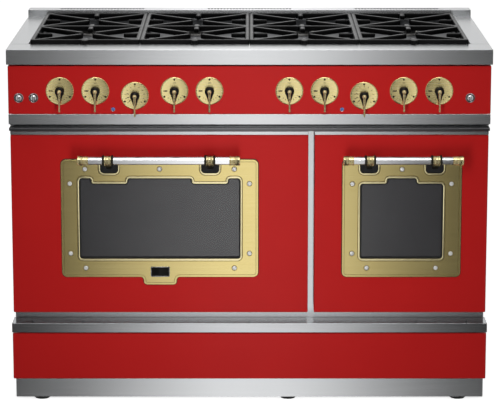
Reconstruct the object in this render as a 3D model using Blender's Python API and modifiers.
"""A 48 inch freestanding gas range: eight burners, two ovens with drop-down doors, ten dial knobs.

Metres, +Z up. +X is to the right of a person facing the range, whose front looks along -Y.
The origin is on the floor, under the middle of the range.
"""

from math import cos, pi, radians, sin, tan

import bmesh
import bpy
from mathutils import Matrix, Vector

# Overall sizes. Depths run back from the front face of the ledge, drops run down from its top.
WIDTH = 1.216
DEPTH = 0.707
LEDGE_HEIGHT = 0.925
GUARD_RISE = 0.018
HANDLE_REACH = 0.034
GAP = 0.0003
SHEET = 0.002
ROUND_SIDES = 16

# Cooktop
LEDGE_DEPTH = 0.103
LEDGE_DROP = 0.038
SIDE_TRIM = 0.048
GUARD_DEPTH = 0.051
RECESS_BACK = DEPTH - GUARD_DEPTH
TRAY_FLOOR_DROP = 0.0285
TRAY_RIM_DROP = 0.010
COLUMN_XS = (-0.417, -0.139, 0.139, 0.417)
GRATE_FRONT = 0.104
GRATE_BACK = 0.645
GRATE_WIDTH = 0.2775
GRATE_TOP_DROP = -0.011
GRATE_BAR_HEIGHT = 0.014
GRATE_BAR_WIDTH = 0.010
ROW_LENGTH = (GRATE_BACK - GRATE_FRONT) / 2
ROW_DEPTHS = (GRATE_FRONT + ROW_LENGTH / 2, GRATE_BACK - ROW_LENGTH / 2)
BURNER_HOLE = 0.031
THROAT_RADIUS = 0.024
FEED_TUBE_DROP = 0.055

# Control panel
PANEL_WIDTH = 1.210
PANEL_DEPTH = 0.008
PANEL_TOP_DROP = 0.042
PANEL_BOTTOM_DROP = 0.164
FRAME_DEPTH = 0.0865
DIAL_RADIUS = 0.035
BURNER_DIAL_DROP = 0.105
OVEN_DIAL_DROP = 0.117
BURNER_DIAL_XS = (-0.475, -0.386, -0.188, -0.100, 0.100, 0.188, 0.386, 0.475)
OVEN_DIAL_XS = (-0.287, 0.287)
SWITCH_XS = (-0.578, -0.541, 0.553)
SWITCH_DROP = 0.1228
LAMP_XS = (-0.342, 0.232)
LAMP_DROP = 0.1517
TRIM_BOTTOM_DROP = 0.190
GROOVE_BOTTOM_DROP = 0.1985
INLET_X = 0.572
INLET_DROP = 0.105
STRIP_TOP_DROP = 0.199
STRIP_BOTTOM_DROP = 0.208

# Doors
DOOR_FRONT = 0.035
DOOR_TOP_DROP = 0.222
DOOR_BOTTOM_DROP = 0.683
SKIN_BACK = 0.062
LINER_BACK = 0.084
LINER_TOP_DROP = 0.2165
LINER_BOTTOM_DROP = 0.679
LEFT_DOOR = (-0.604, 0.149)
RIGHT_DOOR = (0.1645, 0.604)
HINGE_DEPTH = 0.055
HINGE_DROP = 0.675
FRAME_PLATE = 0.005
LEFT_WINDOW_X = -0.2275
RIGHT_WINDOW_X = 0.3860
WINDOW_TOP_DROP = 0.2844
WINDOW_BOTTOM_DROP = 0.5883
GLASS_TOP_DROP = 0.332
GLASS_SHOULDER_DROP = 0.346
GLASS_BOTTOM_DROP = 0.541
SLOT_TOP_DROP = 0.2905
SLOT_BOTTOM_DROP = 0.3192
SLOT_WIDTH = 0.045
BAR_DEPTH = -0.020
BAR_DROP = 0.2776
BAR_RADIUS = 0.0095
POST_RADIUS = 0.014
POST_WIDTH = 0.0176

# Oven cavities
CAVITY_FRONT = 0.090
CAVITY_BACK = 0.598
CAVITY_TOP_DROP = 0.262
CAVITY_BOTTOM_DROP = 0.643
LARGE_CAVITY = (-0.561, 0.106)
SMALL_CAVITY = (0.216, 0.556)
RACK_DROPS = (0.385, 0.519)
FAN_X = -0.2275
FAN_DROP = 0.4525

# Base
RAIL_TOP_DROP = 0.708
RAIL_BOTTOM_DROP = 0.732
LOWER_PANEL_TOP_DROP = 0.7355
LOWER_PANEL_BOTTOM_DROP = 0.856
KICK_DEPTH = 0.060
KICK_BOTTOM = 0.011
FOOT_XS = (-0.539, 0.100, 0.541)
FOOT_DEPTHS = (0.097, 0.640)
FOOT_RADIUS = 0.020

COLOURS = {
    "red_enamel": ((0.42, 0.012, 0.012), 0.18, 0.0),
    "steel": ((0.62, 0.62, 0.62), 0.32, 1.0),
    "dark_steel": ((0.30, 0.30, 0.31), 0.45, 1.0),
    "brass": ((0.62, 0.50, 0.22), 0.34, 1.0),
    "chrome": ((0.75, 0.75, 0.75), 0.10, 1.0),
    "cast_iron": ((0.02, 0.02, 0.02), 0.55, 0.0),
    "black": ((0.015, 0.015, 0.015), 0.40, 0.0),
    "glass": ((0.06, 0.06, 0.06), 0.05, 0.0),
    "oven_enamel": ((0.05, 0.05, 0.06), 0.30, 0.0),
    "brass_pipe": ((0.50, 0.42, 0.20), 0.40, 1.0),
}


def y_at(depth):
    """World Y of a depth behind the ledge's front face."""
    return depth + HANDLE_REACH - (DEPTH + HANDLE_REACH) / 2


def z_at(drop):
    """World Z of a drop below the ledge's top."""
    return LEDGE_HEIGHT - drop


def clear_scene():
    for item in list(bpy.data.objects):
        bpy.data.objects.remove(item, do_unlink=True)


def new_collection(name):
    collection = bpy.data.collections.new(name)
    bpy.context.scene.collection.children.link(collection)
    return collection


def new_material(name, finish):
    colour, roughness, metallic = COLOURS[finish]
    material = bpy.data.materials.new(name)
    material.use_nodes = True
    shader = material.node_tree.nodes["Principled BSDF"]
    shader.inputs["Base Color"].default_value = (*colour, 1.0)
    shader.inputs["Roughness"].default_value = roughness
    shader.inputs["Metallic"].default_value = metallic
    material.diffuse_color = (*colour, 1.0)
    return material


def add_object(name, data, finish):
    """Puts a part in the range's collection, with a material of its own."""
    data.materials.clear()
    data.materials.append(new_material(f"{name}_finish", finish))
    item = bpy.data.objects.new(name, data)
    range_parts.objects.link(item)
    return item


def add_cutter(name, mesh):
    cutter = bpy.data.objects.new(name, mesh)
    cutter.hide_render = True
    cutter.display_type = "WIRE"
    cutters.objects.link(cutter)
    return cutter


def mesh_of(name, bm):
    mesh = bpy.data.meshes.new(name)
    bm.to_mesh(mesh)
    bm.free()
    return mesh


def smooth(mesh):
    mesh.shade_smooth()
    mesh.set_sharp_from_angle(angle=radians(35))


def put_box(bm, xs, depths, drops):
    """Adds a box given by its ends in X, its depths and its drops."""
    low = Vector((xs[0], y_at(depths[0]), z_at(drops[1])))
    high = Vector((xs[1], y_at(depths[1]), z_at(drops[0])))
    size = Matrix.Diagonal((*(high - low), 1))
    bmesh.ops.create_cube(bm, size=1, matrix=Matrix.Translation((low + high) / 2) @ size)


def put_rod(bm, start, end, radius, sides=ROUND_SIDES, end_radius=None):
    """Adds a round rod or taper between two points in world space."""
    start, end = Vector(start), Vector(end)
    along = end - start
    turn = along.to_track_quat("Z", "Y").to_matrix().to_4x4()
    place = Matrix.Translation((start + end) / 2) @ turn
    bmesh.ops.create_cone(
        bm,
        cap_ends=True,
        segments=sides,
        radius1=radius,
        radius2=radius if end_radius is None else end_radius,
        depth=along.length,
        matrix=place,
    )


def put_bar(bm, start, end, width, height):
    """Adds a square bar between two points of a level plane, its height upright."""
    start, end = Vector(start), Vector(end)
    along = end - start
    turn = Matrix.Rotation(along.to_2d().angle_signed(Vector((1, 0))), 4, "Z")
    size = Matrix.Diagonal((along.length, width, height, 1))
    place = Matrix.Translation((start + end) / 2)
    bmesh.ops.create_cube(bm, size=1, matrix=place @ turn @ size)


def cut(item, name, bm):
    """Takes the shapes in bm out of a part."""
    modifier = item.modifiers.new(name, "BOOLEAN")
    modifier.operation = "DIFFERENCE"
    modifier.use_self = True
    modifier.object = add_cutter(f"{item.name}_{name}", mesh_of(name, bm))


def fuse(item, name, bm):
    """Joins the shapes in bm to a part, and the part's own crossing shapes to each other."""
    modifier = item.modifiers.new(name, "BOOLEAN")
    modifier.operation = "UNION"
    modifier.use_self = True
    modifier.object = add_cutter(f"{item.name}_{name}", mesh_of(name, bm))


def box_part(name, finish, xs, depths, drops):
    bm = bmesh.new()
    put_box(bm, xs, depths, drops)
    return add_object(name, mesh_of(name, bm), finish)


def tray_part(name, finish, xs, depths, drops, open_side, wall=SHEET):
    """A box of sheet metal with one open side: front, back, top or bottom."""
    item = box_part(name, finish, xs, depths, drops)
    inner_xs = (xs[0] + wall, xs[1] - wall)
    inner_depths = [depths[0] + wall, depths[1] - wall]
    inner_drops = [drops[0] + wall, drops[1] - wall]
    if open_side == "front":
        inner_depths[0] = depths[0] - wall
    elif open_side == "back":
        inner_depths[1] = depths[1] + wall
    elif open_side == "top":
        inner_drops[0] = drops[0] - wall
    elif open_side == "bottom":
        inner_drops[1] = drops[1] + wall
    bm = bmesh.new()
    put_box(bm, inner_xs, inner_depths, inner_drops)
    cut(item, "hollow", bm)
    return item


def corner_arc(before, corner, after, radius, steps=3):
    """The points that round one corner of an outline."""
    to_before = (before - corner).normalized()
    to_after = (after - corner).normalized()
    half = to_before.angle(to_after) / 2
    start = corner + to_before * radius / tan(half)
    end = corner + to_after * radius / tan(half)
    centre = corner + (to_before + to_after).normalized() * radius / sin(half)
    first, last = start - centre, end - centre
    sweep = last.angle_signed(first)
    return [centre + Matrix.Rotation(sweep * i / steps, 2) @ first for i in range(steps + 1)]


def rounded(corners):
    """An outline from corners of (x, y, radius)."""
    flat = [Vector(corner[:2]) for corner in corners]
    points = []
    for i, corner in enumerate(corners):
        after = flat[(i + 1) % len(flat)]
        points += corner_arc(flat[i - 1], flat[i], after, corner[2])
    return points


def plate_curve(name, outlines, thickness):
    """A flat plate: the first outline is its edge, the others are holes in it."""
    curve = bpy.data.curves.new(name, "CURVE")
    curve.dimensions = "2D"
    curve.fill_mode = "BOTH"
    curve.extrude = thickness / 2
    for outline in outlines:
        spline = curve.splines.new("POLY")
        spline.points.add(len(outline) - 1)
        for point, place in zip(spline.points, outline):
            point.co = (place[0], place[1], 0, 1)
        spline.use_cyclic_u = True
    return curve


def upright_plate(name, finish, outlines, front, thickness):
    """A plate whose outlines are given in world X and Z, with its face at a depth."""
    item = add_object(name, plate_curve(name, outlines, thickness), finish)
    item.rotation_euler = (pi / 2, 0, 0)
    item.location = (0, y_at(front + thickness / 2), 0)
    return item


def profile_part(name, finish, profile, width):
    """A section of (depth, drop) points, run along X."""
    outline = [(y_at(depth), z_at(drop)) for depth, drop in profile]
    item = add_object(name, plate_curve(name, [outline], width), finish)
    item.rotation_euler = (pi / 2, 0, pi / 2)
    return item


def turned_part(name, finish, profile, steps=ROUND_SIDES):
    """A profile of (radius, height) points, top to bottom, turned about Z."""
    bm = bmesh.new()
    points = [bm.verts.new((radius, 0, height)) for radius, height in profile]
    for first, second in zip(points, points[1:]):
        bm.edges.new((first, second))
    item = add_object(name, mesh_of(name, bm), finish)
    screw = item.modifiers.new("turn", "SCREW")
    screw.steps = steps
    screw.render_steps = steps
    screw.use_merge_vertices = True
    screw.merge_threshold = 0.00005
    return item


def pivot(name, place):
    """An empty on a joint's axis."""
    empty = bpy.data.objects.new(name, None)
    empty.location = place
    empty.empty_display_size = 0.03
    range_parts.objects.link(empty)
    return empty


def hang_on(empty, *items):
    for item in items:
        item.parent = empty
        item.matrix_parent_inverse = Matrix.Translation(empty.location).inverted()


def make_cooktop_frame():
    """Front ledge and side trims, folded from one gauge of steel and open underneath."""
    half = WIDTH / 2
    recess = half - SIDE_TRIM
    item = box_part("cooktop_frame", "steel", (-half, half), (0, RECESS_BACK - GAP), (0, LEDGE_DROP))
    bm = bmesh.new()
    put_box(bm, (-recess, recess), (LEDGE_DEPTH, DEPTH), (-SHEET, LEDGE_DROP + SHEET))
    cut(item, "recess", bm)
    bm = bmesh.new()
    below = (SHEET, LEDGE_DROP + SHEET)
    put_box(bm, (SHEET - half, half - SHEET), (SHEET, LEDGE_DEPTH - SHEET), below)
    for side in (-1, 1):
        xs = sorted((side * (recess + SHEET), side * (half - SHEET)))
        put_box(bm, xs, (SHEET * 2, RECESS_BACK - SHEET), below)
    cut(item, "underside", bm)


def make_drip_tray():
    half = WIDTH / 2 - SIDE_TRIM - GAP
    depths = (LEDGE_DEPTH + GAP, RECESS_BACK - 2 * GAP)
    drops = (TRAY_RIM_DROP, TRAY_FLOOR_DROP + SHEET)
    item = tray_part("drip_tray", "dark_steel", (-half, half), depths, drops, "top")
    bm = bmesh.new()
    top, bottom = z_at(TRAY_FLOOR_DROP - SHEET), z_at(TRAY_FLOOR_DROP + 2 * SHEET)
    for x in COLUMN_XS:
        for depth in ROW_DEPTHS:
            put_rod(bm, (x, y_at(depth), bottom), (x, y_at(depth), top), BURNER_HOLE, 12)
    cut(item, "burner_holes", bm)


def make_burner_pair(number, x):
    """Two burner heads with caps, joined under the tray by their feed tube."""
    seat = TRAY_FLOOR_DROP - GAP
    cap_top = seat - 0.0195
    profile = (
        (0, -cap_top),
        (0.031, -cap_top),
        (0.035, -cap_top - 0.003),
        (0.035, -cap_top - 0.006),
        (0.030, -cap_top - 0.009),
        (0.047, -cap_top - 0.012),
        (0.049, -seat),
        (THROAT_RADIUS, -seat),
        (THROAT_RADIUS, -0.066),
        (0, -0.066),
    )
    front, back = (y_at(depth) for depth in ROW_DEPTHS)
    item = turned_part(f"burner_pair_{number}", "cast_iron", profile, 14)
    item.location = (x, front, LEDGE_HEIGHT)
    rear = item.copy()
    rear.name = f"burner_pair_{number}_rear"
    cutters.objects.link(rear)
    rear.location = (x, back, LEDGE_HEIGHT)
    rear.hide_render = True
    rear.display_type = "WIRE"
    join = item.modifiers.new("rear_head", "BOOLEAN")
    join.operation = "UNION"
    join.object = rear
    bm = bmesh.new()
    inset = THROAT_RADIUS - 0.006
    ends = [(0, y, -FEED_TUBE_DROP) for y in (inset, back - front - inset)]
    put_rod(bm, *ends, 0.009, 12)
    tube = add_cutter(f"burner_pair_{number}_tube", mesh_of("feed_tube", bm))
    tube.location = item.location
    join = item.modifiers.new("feed_tube", "BOOLEAN")
    join.operation = "UNION"
    join.object = tube


def put_grate_bars(bm, x):
    """Frame, crossing bars, fingers, lugs and feet of one grate, as overlapping bars."""
    half = GRATE_WIDTH / 2
    top, bottom = z_at(GRATE_TOP_DROP), z_at(GRATE_TOP_DROP + GRATE_BAR_HEIGHT)
    level = (top + bottom) / 2
    edge = GRATE_BAR_WIDTH / 2
    for row in ROW_DEPTHS:
        centre = Vector((x, y_at(row), level - 0.0005))
        reach_x, reach_y = half - edge, ROW_LENGTH / 2 - edge
        for across in (-1, 1):
            for along in (-1, 1):
                outward = Vector((across * reach_x, along * reach_y, 0))
                near = centre + outward.normalized() * 0.022
                put_bar(bm, near, centre + outward * 0.985, 0.011, GRATE_BAR_HEIGHT - 0.001)
        for turn in range(4):
            way = Vector((cos(turn * pi / 2), sin(turn * pi / 2), 0))
            reach, width = (reach_x, 0.009) if turn % 2 == 0 else (reach_y, 0.013)
            start = centre + way * (reach - 0.042)
            put_bar(bm, start, centre + way * reach, width, GRATE_BAR_HEIGHT - 0.002)
    for depth in (GRATE_FRONT - 0.003, GRATE_BACK - 0.010):
        place = Vector((x, y_at(depth), 0))
        lug_bottom = Vector((0, 0, z_at(-2 * GAP)))
        put_rod(bm, place + lug_bottom, place + Vector((0, 0, top - 0.001)), 0.0085, 12)
    foot_depths = (GRATE_FRONT + 0.008, (GRATE_FRONT + GRATE_BACK) / 2, GRATE_BACK - 0.008)
    for side in (-1, 1):
        for depth in foot_depths:
            place = Vector((x + side * (half - 0.0075), y_at(depth), 0))
            foot_bottom = z_at(TRAY_FLOOR_DROP - GAP)
            put_rod(bm, place + Vector((0, 0, foot_bottom)), place + Vector((0, 0, level)), 0.0055, 8)


def make_grate(number, x):
    """A cast iron grate over one front and one rear burner."""
    half = GRATE_WIDTH / 2
    drops = (GRATE_TOP_DROP, GRATE_TOP_DROP + GRATE_BAR_HEIGHT)
    name = f"grate_{number}"
    item = box_part(name, "cast_iron", (x - half, x + half), (GRATE_FRONT, GRATE_BACK), drops)
    bm = bmesh.new()
    inner_xs = (x - half + GRATE_BAR_WIDTH, x + half - GRATE_BAR_WIDTH)
    through = (drops[0] - 0.001, drops[1] + 0.001)
    middle = (GRATE_FRONT + GRATE_BACK) / 2
    half_bar = GRATE_BAR_WIDTH / 2
    put_box(bm, inner_xs, (GRATE_FRONT + GRATE_BAR_WIDTH, middle - half_bar), through)
    put_box(bm, inner_xs, (middle + half_bar, GRATE_BACK - GRATE_BAR_WIDTH), through)
    cut(item, "spaces", bm)
    bm = bmesh.new()
    put_grate_bars(bm, x)
    fuse(item, "bars", bm)


def make_backguard():
    """Low guard across the back, open underneath, with three groups of vent slots on top."""
    half = WIDTH / 2
    depths = (RECESS_BACK, DEPTH)
    item = tray_part("backguard", "steel", (-half, half), depths, (-GUARD_RISE, LEDGE_DROP), "bottom")
    bm = bmesh.new()
    pitch, slot = 0.030, 0.016
    for group_x in (-0.405, 0, 0.405):
        for i in range(8):
            x = group_x + (i - 3.5) * pitch
            xs = (x - slot / 2, x + slot / 2)
            put_box(bm, xs, (RECESS_BACK + 0.012, DEPTH - 0.012), (-0.03, -GUARD_RISE + 2 * SHEET))
    cut(item, "vent_slots", bm)


def make_control_panel():
    """Enamelled panel turned back at its edges, with the switch bezels and lamp lenses in it."""
    half = PANEL_WIDTH / 2
    depths = (PANEL_DEPTH, FRAME_DEPTH + 0.002)
    drops = (PANEL_TOP_DROP, PANEL_BOTTOM_DROP)
    item = tray_part("control_panel", "red_enamel", (-half, half), depths, drops, "back")
    bm = bmesh.new()
    for x, drop in dial_places():
        put_rod(bm, (x, y_at(0), z_at(drop)), (x, y_at(0.015), z_at(drop)), 0.009, 10)
    for x in SWITCH_XS:
        put_rod(bm, (x, y_at(0), z_at(SWITCH_DROP)), (x, y_at(0.015), z_at(SWITCH_DROP)), 0.011, 12)
    cut(item, "holes", bm)
    bm = bmesh.new()
    for x in LAMP_XS:
        ends = [(x, y_at(depth), z_at(LAMP_DROP)) for depth in (0.0095, 0.0050)]
        put_rod(bm, *ends, 0.0055, 8, end_radius=0.0040)
    for x in SWITCH_XS:
        ends = [(x, y_at(depth), z_at(SWITCH_DROP)) for depth in (0.0115, 0.0045)]
        put_rod(bm, *ends, 0.0125)
    fuse(item, "lamps_and_bezels", bm)
    bm = bmesh.new()
    for x in SWITCH_XS:
        ends = [(x, y_at(depth), z_at(SWITCH_DROP)) for depth in (0.02, 0)]
        put_rod(bm, *ends, 0.0088)
    cut(item, "button_bores", bm)


def dial_places():
    burner = [(x, BURNER_DIAL_DROP) for x in BURNER_DIAL_XS]
    oven = [(x, OVEN_DIAL_DROP) for x in OVEN_DIAL_XS]
    return sorted(burner + oven)


def make_dial_plates():
    """Ten dial plates in front of the panel, on bosses from the rail behind it."""
    item = box_part("dial_plates", "brass", (-0.518, 0.518), (0.0160, 0.0190), (0.090, 0.132))
    bm = bmesh.new()
    for x, drop in dial_places():
        put_rod(bm, (x, y_at(0.0077), z_at(drop)), (x, y_at(0.0052), z_at(drop)), DIAL_RADIUS, 20)
        put_rod(bm, (x, y_at(0.0175), z_at(drop)), (x, y_at(0.0065), z_at(drop)), 0.0078, 8)
    fuse(item, "dials", bm)


def make_knob(number, x, drop):
    """A hub on the dial's axis with a slim lever hanging from it. Its origin is on the axis."""
    face = 0.0049 - PANEL_DEPTH
    bm = bmesh.new()
    put_rod(bm, (0, face, 0), (0, -0.021, 0), 0.0112, 20, end_radius=0.0100)
    item = add_object(f"knob_{number}", mesh_of("knob", bm), "black")
    item.location = (x, y_at(PANEL_DEPTH), z_at(drop))
    bm = bmesh.new()
    put_rod(bm, (0, -0.0205, 0), (0, -0.0330, 0), 0.0085, 20, end_radius=0.0050)
    put_rod(bm, (0, -0.0190, -0.004), (0, -0.0235, -0.0505), 0.0042, 10, end_radius=0.0030)
    join = item.modifiers.new("lever", "BOOLEAN")
    join.operation = "UNION"
    join.use_self = True
    join.object = add_cutter(f"knob_{number}_lever", mesh_of("lever", bm))
    join.object.location = item.location


def make_switch_button(name, x):
    """A domed push button. Its top faces the front, and its origin is on its axis."""
    radius = 0.0083
    profile = (
        (0, 0.006),
        (0.004, 0.0055),
        (0.0065, 0.0043),
        (radius, 0.0025),
        (radius, -0.006),
        (0, -0.006),
    )
    item = turned_part(name, "chrome", profile, 20)
    item.rotation_euler = (pi / 2, 0, 0)
    item.location = (x, y_at(PANEL_DEPTH), z_at(SWITCH_DROP))


def make_control_trim():
    """Steel trim under the panel, stepped back into a groove at its foot."""
    front, groove = PANEL_DEPTH, 0.045
    profile = (
        (front, PANEL_BOTTOM_DROP + GAP),
        (front, TRIM_BOTTOM_DROP),
        (groove, TRIM_BOTTOM_DROP),
        (groove, GROOVE_BOTTOM_DROP),
        (groove + SHEET, GROOVE_BOTTOM_DROP),
        (groove + SHEET, TRIM_BOTTOM_DROP - SHEET),
        (front + SHEET, TRIM_BOTTOM_DROP - SHEET),
        (front + SHEET, PANEL_BOTTOM_DROP + GAP),
    )
    profile_part("control_trim", "steel", profile, PANEL_WIDTH)


def make_heat_strip():
    half = 0.6045
    drops = (STRIP_TOP_DROP, STRIP_BOTTOM_DROP)
    item = box_part("heat_strip", "black", (-half, half), (0.010, FRAME_DEPTH), drops)
    bevel = item.modifiers.new("edge", "BEVEL")
    bevel.width = 0.0015
    bevel.segments = 1


def make_front_frame():
    """Steel frame round the two oven mouths, which the doors close against."""
    half = 0.6035
    depths = (FRAME_DEPTH, CAVITY_FRONT - GAP)
    drops = (STRIP_BOTTOM_DROP + GAP, RAIL_TOP_DROP - GAP)
    item = box_part("front_frame", "steel", (-half, half), depths, drops)
    bm = bmesh.new()
    for xs in (LARGE_CAVITY, SMALL_CAVITY):
        put_box(bm, xs, (FRAME_DEPTH - 0.01, CAVITY_FRONT + 0.01), (CAVITY_TOP_DROP, CAVITY_BOTTOM_DROP))
    cut(item, "mouths", bm)


def make_oven_box(name, xs):
    outer_xs = (xs[0] - SHEET, xs[1] + SHEET)
    drops = (CAVITY_TOP_DROP - SHEET, CAVITY_BOTTOM_DROP + SHEET)
    return tray_part(name, "oven_enamel", outer_xs, (CAVITY_FRONT, CAVITY_BACK + SHEET), drops, "front")


def make_large_oven():
    """Oven box with the fan motor's housing on its back wall."""
    item = make_oven_box("oven_box_large", LARGE_CAVITY)
    bm = bmesh.new()
    z = z_at(FAN_DROP)
    put_rod(bm, (FAN_X, y_at(CAVITY_BACK + SHEET / 2), z), (FAN_X, y_at(0.650), z), 0.042)
    fuse(item, "motor_housing", bm)
    bm = bmesh.new()
    put_rod(bm, (FAN_X, y_at(CAVITY_BACK - 0.01), z), (FAN_X, y_at(0.640), z), 0.008, 16)
    cut(item, "shaft_bore", bm)


def make_fan_wheel():
    """Convection fan: back plate, blades and a shaft into the motor. Its origin is on the shaft."""
    back = -0.002
    bm = bmesh.new()
    put_rod(bm, (0, back, 0), (0, back - 0.002, 0), 0.070)
    item = add_object("fan_wheel", mesh_of("fan_wheel", bm), "dark_steel")
    item.location = (FAN_X, y_at(CAVITY_BACK), z_at(FAN_DROP))
    bm = bmesh.new()
    put_rod(bm, (0, 0.034, 0), (0, back - 0.020, 0), 0.0055, 12)
    blades = 8
    for i in range(blades):
        turn = Matrix.Rotation(2 * pi * i / blades, 4, "Y")
        lean = Matrix.Rotation(radians(28), 4, "Y")
        place = Matrix.Translation((0, back - 0.010, 0)) @ turn @ Matrix.Translation((0.040, 0, 0)) @ lean
        bmesh.ops.create_cube(bm, size=1, matrix=place @ Matrix.Diagonal((0.044, 0.018, 0.0022, 1)))
    put_rod(bm, (0, back - 0.001, 0), (0, back - 0.014, 0), 0.022, 16)
    join = item.modifiers.new("blades", "BOOLEAN")
    join.operation = "UNION"
    join.use_self = True
    join.object = add_cutter("fan_wheel_blades", mesh_of("blades", bm))
    join.object.location = item.location


def make_rack(name, xs, drop):
    """A wire oven rack: a round rim, cross wires and two stiffeners."""
    left, right = xs[0] + 0.008, xs[1] - 0.008
    front, back = y_at(0.106), y_at(0.560)
    z = z_at(drop)
    rim, wire = 0.0035, 0.0022
    bm = bmesh.new()
    put_rod(bm, (left, front, z), (right, front, z), rim, 6)
    item = add_object(name, mesh_of(name, bm), "chrome")
    bm = bmesh.new()
    put_rod(bm, (left, back, z), (right, back, z), rim, 6)
    for x in (left, right):
        put_rod(bm, (x, front - rim, z), (x, back + rim, z), rim * 1.02, 6)
    count = round((right - left) / 0.074)
    for i in range(1, count):
        x = left + (right - left) * i / count
        put_rod(bm, (x, front, z + 0.0006), (x, back, z + 0.0006), wire, 5)
    for part in (1 / 3, 2 / 3):
        y = front + (back - front) * part
        put_rod(bm, (left, y, z - 0.0012), (right, y, z - 0.0012), wire * 1.1, 5)
    fuse(item, "wires", bm)


def make_door_skin(name, xs, window):
    """Enamelled door front, turned back at its edges, with a hole for the window."""
    drops = (DOOR_TOP_DROP, DOOR_BOTTOM_DROP)
    item = tray_part(name, "red_enamel", xs, (DOOR_FRONT, SKIN_BACK), drops, "back")
    bm = bmesh.new()
    window_drops = (GLASS_TOP_DROP - SHEET, GLASS_BOTTOM_DROP + SHEET)
    put_box(bm, window, (DOOR_FRONT - 0.01, DOOR_FRONT + 0.01), window_drops)
    cut(item, "window", bm)
    return item


def make_door_liner(name, xs, window):
    """Steel tray on the oven side of the door, with a hole for the window."""
    inset = (xs[0] + SHEET, xs[1] - SHEET)
    depths = (SKIN_BACK + GAP, LINER_BACK)
    item = tray_part(name, "steel", inset, depths, (LINER_TOP_DROP, LINER_BOTTOM_DROP), "front")
    bm = bmesh.new()
    put_box(bm, window, (LINER_BACK - 0.01, LINER_BACK + 0.01), (GLASS_TOP_DROP, GLASS_BOTTOM_DROP))
    cut(item, "window", bm)
    return item


def make_glass(name, window):
    xs = (window[0] - 0.006, window[1] + 0.006)
    drops = (GLASS_TOP_DROP - 0.008, GLASS_BOTTOM_DROP + 0.008)
    return box_part(name, "glass", xs, (DOOR_FRONT + 0.005, DOOR_FRONT + 0.009), drops)


def outline_at(centre_x, corners):
    """Corners given from the window's middle, as drops, put in world X and Z and rounded."""
    return rounded([(centre_x + x, z_at(drop), radius) for x, drop, radius in corners])


def mirrored(corners):
    """Adds the left half of an outline to its right half."""
    return [*corners, *((-x, drop, radius) for x, drop, radius in reversed(corners))]


def slot_outline(centre_x):
    half = SLOT_WIDTH / 2
    corners = ((half, SLOT_TOP_DROP, 0.006), (half, SLOT_BOTTOM_DROP, 0.010))
    return outline_at(centre_x, mirrored(corners))


def make_left_window_frame():
    """Brass plate round the large window, with two shoulders and a tab for the emblem."""
    half = 0.2496
    edge = mirrored((
        (half, WINDOW_TOP_DROP, 0.012),
        (half, WINDOW_BOTTOM_DROP, 0.012),
        (0.0417, WINDOW_BOTTOM_DROP, 0.009),
        (0.0417, 0.6083, 0.008),
    ))
    opening = mirrored((
        (0.0818, GLASS_TOP_DROP, 0.006),
        (0.0818, GLASS_SHOULDER_DROP, 0.006),
        (0.1732, GLASS_SHOULDER_DROP, 0.006),
        (0.1732, GLASS_TOP_DROP, 0.006),
        (0.2043, GLASS_TOP_DROP, 0.008),
        (0.2043, GLASS_BOTTOM_DROP, 0.008),
    ))
    outlines = [outline_at(LEFT_WINDOW_X, edge), outline_at(LEFT_WINDOW_X, opening)]
    outlines += [slot_outline(LEFT_WINDOW_X + side * 0.128) for side in (-1, 1)]
    front = DOOR_FRONT - FRAME_PLATE - GAP
    return upright_plate("window_frame_left", "brass", outlines, front, FRAME_PLATE)


def make_right_window_frame():
    """Brass plate round the small window, whose opening rises in the middle."""
    half = 0.1507
    edge = mirrored(((half, WINDOW_TOP_DROP, 0.012), (half, WINDOW_BOTTOM_DROP, 0.012)))
    opening = mirrored((
        (0.0378, GLASS_TOP_DROP, 0.006),
        (0.0378, GLASS_SHOULDER_DROP, 0.006),
        (0.1050, GLASS_SHOULDER_DROP, 0.008),
        (0.1050, GLASS_BOTTOM_DROP, 0.008),
    ))
    outlines = [outline_at(RIGHT_WINDOW_X, edge), outline_at(RIGHT_WINDOW_X, opening)]
    outlines += [slot_outline(RIGHT_WINDOW_X + side * 0.083) for side in (-1, 1)]
    front = DOOR_FRONT - FRAME_PLATE - GAP
    return upright_plate("window_frame_right", "brass", outlines, front, FRAME_PLATE)


def make_handle(name, centre_x, half_length, post_offset):
    """Round bar with end caps, held by two clamp posts that reach back to the door."""
    y, z = y_at(BAR_DEPTH), z_at(BAR_DROP)
    bm = bmesh.new()
    bar_half = half_length - 0.002
    put_rod(bm, (centre_x - bar_half, y, z), (centre_x + bar_half, y, z), BAR_RADIUS)
    item = add_object(name, mesh_of(name, bm), "chrome")
    bm = bmesh.new()
    for side in (-1, 1):
        tip = centre_x + side * half_length
        put_rod(bm, (tip, y, z), (tip - side * 0.027, y, z), 0.0118)
        x = centre_x + side * post_offset
        put_rod(bm, (x - POST_WIDTH / 2, y, z), (x + POST_WIDTH / 2, y, z), POST_RADIUS)
    fuse(item, "fittings", bm)
    stem = (
        (BAR_DEPTH + 0.004, 0.2700),
        (DOOR_FRONT - GAP, 0.2935),
        (DOOR_FRONT - GAP, 0.3100),
        (BAR_DEPTH + 0.004, 0.2885),
    )
    for side in (-1, 1):
        add_stem(item, stem, centre_x + side * post_offset, side)
    return item


def add_stem(item, profile, x, side):
    """Joins a post's slanted stem to a handle."""
    bm = bmesh.new()
    half = POST_WIDTH / 2 - 0.002
    corners = [bm.verts.new((x - half, y_at(depth), z_at(drop))) for depth, drop in profile]
    face = bm.faces.new(corners)
    moved = bmesh.ops.extrude_face_region(bm, geom=[face])["geom"]
    across = [vert for vert in moved if isinstance(vert, bmesh.types.BMVert)]
    bmesh.ops.translate(bm, verts=across, vec=(2 * half, 0, 0))
    bmesh.ops.recalc_face_normals(bm, faces=bm.faces)
    fuse(item, "left_stem" if side < 0 else "right_stem", bm)


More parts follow.
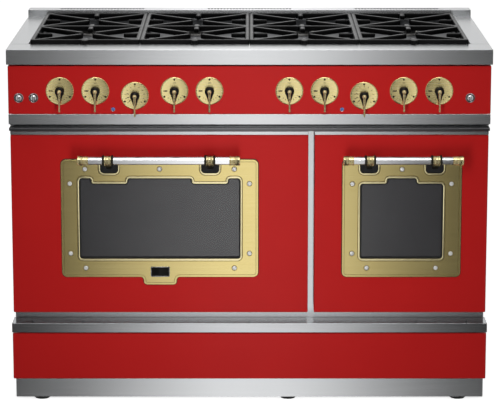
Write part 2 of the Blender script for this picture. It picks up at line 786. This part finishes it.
def make_emblem_plate():
    """A blank plate on the large window's frame."""
    front = DOOR_FRONT - FRAME_PLATE - GAP
    half = 0.0244
    xs = (LEFT_WINDOW_X - half, LEFT_WINDOW_X + half)
    return box_part("emblem_plate", "black", xs, (front - GAP - 0.0022, front - GAP), (0.5607, 0.5876))


def make_doors():
    z = z_at(HINGE_DROP)
    left_pivot = pivot("door_left_pivot", (sum(LEFT_DOOR) / 2, y_at(HINGE_DEPTH), z))
    window = (LEFT_WINDOW_X - 0.2065, LEFT_WINDOW_X + 0.2065)
    hang_on(
        left_pivot,
        make_door_skin("door_skin_left", LEFT_DOOR, window),
        make_door_liner("door_liner_left", LEFT_DOOR, window),
        make_glass("door_glass_left", window),
        make_left_window_frame(),
        make_handle("handle_left", LEFT_WINDOW_X, 0.204, 0.128),
        make_emblem_plate(),
    )
    right_pivot = pivot("door_right_pivot", (sum(RIGHT_DOOR) / 2, y_at(HINGE_DEPTH), z))
    window = (RIGHT_WINDOW_X - 0.1072, RIGHT_WINDOW_X + 0.1072)
    hang_on(
        right_pivot,
        make_door_skin("door_skin_right", RIGHT_DOOR, window),
        make_door_liner("door_liner_right", RIGHT_DOOR, window),
        make_glass("door_glass_right", window),
        make_right_window_frame(),
        make_handle("handle_right", RIGHT_WINDOW_X, 0.151, 0.083),
    )


def make_gas_manifold():
    """Supply pipe behind the panel, a valve for each dial, and the inlet run to the back."""
    depth, radius = 0.062, 0.011
    start_x = -0.500
    z = z_at(INLET_DROP)
    bm = bmesh.new()
    put_rod(bm, (start_x, y_at(depth), z), (INLET_X, y_at(depth), z), radius, 10)
    item = add_object("gas_manifold", mesh_of("gas_manifold", bm), "brass_pipe")
    bm = bmesh.new()
    inlet_radius = 0.0102
    put_rod(bm, (INLET_X, y_at(depth - 0.012), z), (INLET_X, y_at(DEPTH - 0.001), z), inlet_radius, 9)
    for x, dial_drop in dial_places():
        put_box(bm, (x - 0.012, x + 0.012), (0.034, depth), (dial_drop - 0.013, dial_drop + 0.013))
        ends = [(x, y_at(stem), z_at(dial_drop)) for stem in (0.0195, 0.036)]
        put_rod(bm, *ends, 0.004, 6)
    fuse(item, "valves_and_inlet", bm)


def make_side_panel(name, side):
    """Side sheet turned in at its front and back edges."""
    outer, inner, lip = 0.604, 0.602, 0.588
    front, back = CAVITY_FRONT, 0.6985
    profile = (
        (outer, front),
        (outer, back),
        (lip, back),
        (lip, back - SHEET),
        (inner, back - SHEET),
        (inner, front + SHEET),
        (lip, front + SHEET),
        (lip, front),
    )
    top, bottom = z_at(LEDGE_DROP + GAP), KICK_BOTTOM
    outline = [(side * x, y_at(depth)) for x, depth in profile]
    item = add_object(name, plate_curve(name, [outline], top - bottom), "steel")
    item.location = (0, 0, (top + bottom) / 2)


def make_rear_panel():
    """Back sheet with a hole for the gas inlet and a gland for the supply lead."""
    depths = (0.6990, 0.6990 + SHEET)
    item = box_part("rear_panel", "dark_steel", (-0.600, 0.600), depths, (LEDGE_DROP + SHEET, 0.880))
    bm = bmesh.new()
    gland = (-0.480, 0.140)
    ends = [(gland[0], y_at(depth), gland[1]) for depth in (depths[0] + SHEET / 2, DEPTH - 0.001)]
    put_rod(bm, *ends, 0.014)
    fuse(item, "gland", bm)
    bm = bmesh.new()
    ends = [(gland[0], y_at(depth), gland[1]) for depth in (0.69, DEPTH + 0.01)]
    put_rod(bm, *ends, 0.006, 16)
    ends = [(INLET_X, y_at(depth), z_at(INLET_DROP)) for depth in (0.69, DEPTH + 0.01)]
    put_rod(bm, *ends, 0.0135, 16)
    cut(item, "inlets", bm)


def make_lower_rail():
    """Steel rail under the doors, whose top runs back to the front frame."""
    front, back = 0.020, CAVITY_FRONT - GAP
    profile = (
        (front, RAIL_TOP_DROP),
        (front, RAIL_BOTTOM_DROP),
        (front + 0.012, RAIL_BOTTOM_DROP),
        (front + 0.012, RAIL_BOTTOM_DROP - SHEET),
        (front + SHEET, RAIL_BOTTOM_DROP - SHEET),
        (front + SHEET, RAIL_TOP_DROP + SHEET),
        (back, RAIL_TOP_DROP + SHEET),
        (back, RAIL_TOP_DROP),
    )
    profile_part("lower_rail", "steel", profile, 1.215)


def make_lower_panel():
    half = 0.6065
    drops = (LOWER_PANEL_TOP_DROP, LOWER_PANEL_BOTTOM_DROP)
    tray_part("lower_panel", "red_enamel", (-half, half), (0.025, CAVITY_FRONT - GAP), drops, "back")


def make_kick_plate():
    half = 0.6035
    drops = (LOWER_PANEL_BOTTOM_DROP + GAP, LEDGE_HEIGHT - KICK_BOTTOM)
    tray_part("kick_plate", "steel", (-half, half), (KICK_DEPTH, CAVITY_FRONT - GAP), drops, "back")


def make_base_pan():
    """Floor of the body, above the feet, with a hole over each foot's stem."""
    half = 0.5875
    drops = (LEDGE_HEIGHT - 0.056, LEDGE_HEIGHT - 0.034)
    item = tray_part("base_pan", "dark_steel", (-half, half), (0.0625, 0.6980), drops, "top")
    bm = bmesh.new()
    for x in FOOT_XS:
        for depth in FOOT_DEPTHS:
            put_rod(bm, (x, y_at(depth), 0.030), (x, y_at(depth), 0.040), 0.0065, 16)
    cut(item, "stem_holes", bm)


def make_foot(name, x, depth):
    """A levelling foot: a round pad with a threaded stem up through the base pan."""
    profile = (
        (0, 0.052),
        (0.006, 0.052),
        (0.006, 0.0105),
        (FOOT_RADIUS - 0.003, 0.0105),
        (FOOT_RADIUS, 0.008),
        (FOOT_RADIUS, 0.001),
        (FOOT_RADIUS - 0.001, 0),
        (0, 0),
    )
    item = turned_part(name, "black", profile, 12)
    item.location = (x, y_at(depth), 0)


def make_feet():
    for row, depth in zip(("front", "rear"), FOOT_DEPTHS):
        for side, x in zip(("left", "middle", "right"), FOOT_XS):
            make_foot(f"foot_{row}_{side}", x, depth)


def make_range():
    make_cooktop_frame()
    make_drip_tray()
    for number, x in enumerate(COLUMN_XS, 1):
        make_burner_pair(number, x)
        make_grate(number, x)
    make_backguard()
    make_control_panel()
    make_dial_plates()
    for number, (x, drop) in enumerate(dial_places(), 1):
        make_knob(number, x, drop)
    for number, x in enumerate(SWITCH_XS, 1):
        make_switch_button(f"switch_button_{number}", x)
    make_control_trim()
    make_heat_strip()
    make_front_frame()
    make_large_oven()
    make_oven_box("oven_box_small", SMALL_CAVITY)
    make_fan_wheel()
    make_rack("rack_large_upper", LARGE_CAVITY, RACK_DROPS[0])
    make_rack("rack_large_lower", LARGE_CAVITY, RACK_DROPS[1])
    make_rack("rack_small", SMALL_CAVITY, sum(RACK_DROPS) / 2)
    make_doors()
    make_gas_manifold()
    make_side_panel("side_panel_left", -1)
    make_side_panel("side_panel_right", 1)
    make_rear_panel()
    make_lower_rail()
    make_lower_panel()
    make_kick_plate()
    make_base_pan()
    make_feet()
    for item in range_parts.objects:
        if item.type == "MESH" and not item.modifiers:
            smooth(item.data)


clear_scene()
range_parts = new_collection("freestanding_gas_range")
cutters = new_collection("cutters")
make_range()
